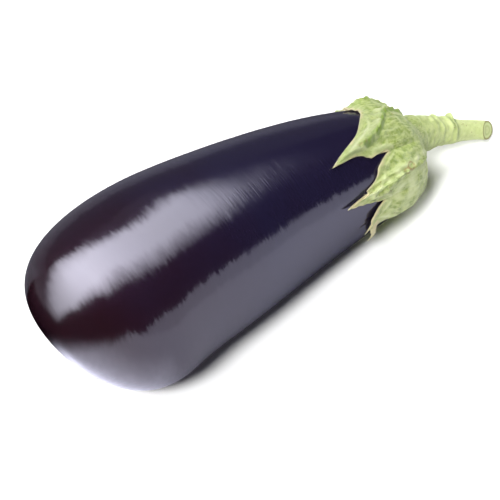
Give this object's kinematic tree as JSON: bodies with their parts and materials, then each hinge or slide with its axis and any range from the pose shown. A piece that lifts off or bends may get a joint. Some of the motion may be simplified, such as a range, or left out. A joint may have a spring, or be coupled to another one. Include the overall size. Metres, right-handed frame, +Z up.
{
  "type": "eggplant",
  "caption": "Whole dark purple eggplant lying on its side, broad at the blossom end, with a pointed-lobed green calyx and a cut bent stem.",
  "frame": {"origin": "centre of the bounding box on the plane the eggplant lies on", "axes": "+X along the fruit from the blossom end to the stem, +Z up"},
  "size_m": [0.2538, 0.0868, 0.0855],
  "materials": {
    "skin": "thin waxy glossy skin, near-black purple",
    "calyx_flesh": "matte, faintly downy pale green",
    "stem_flesh": "matte pale green, with a fresh cut face"
  },
  "bodies": {
    "root": {"fruit": "skin", "calyx": "calyx_flesh", "stem": "stem_flesh"}
  },
  "joints": []
}
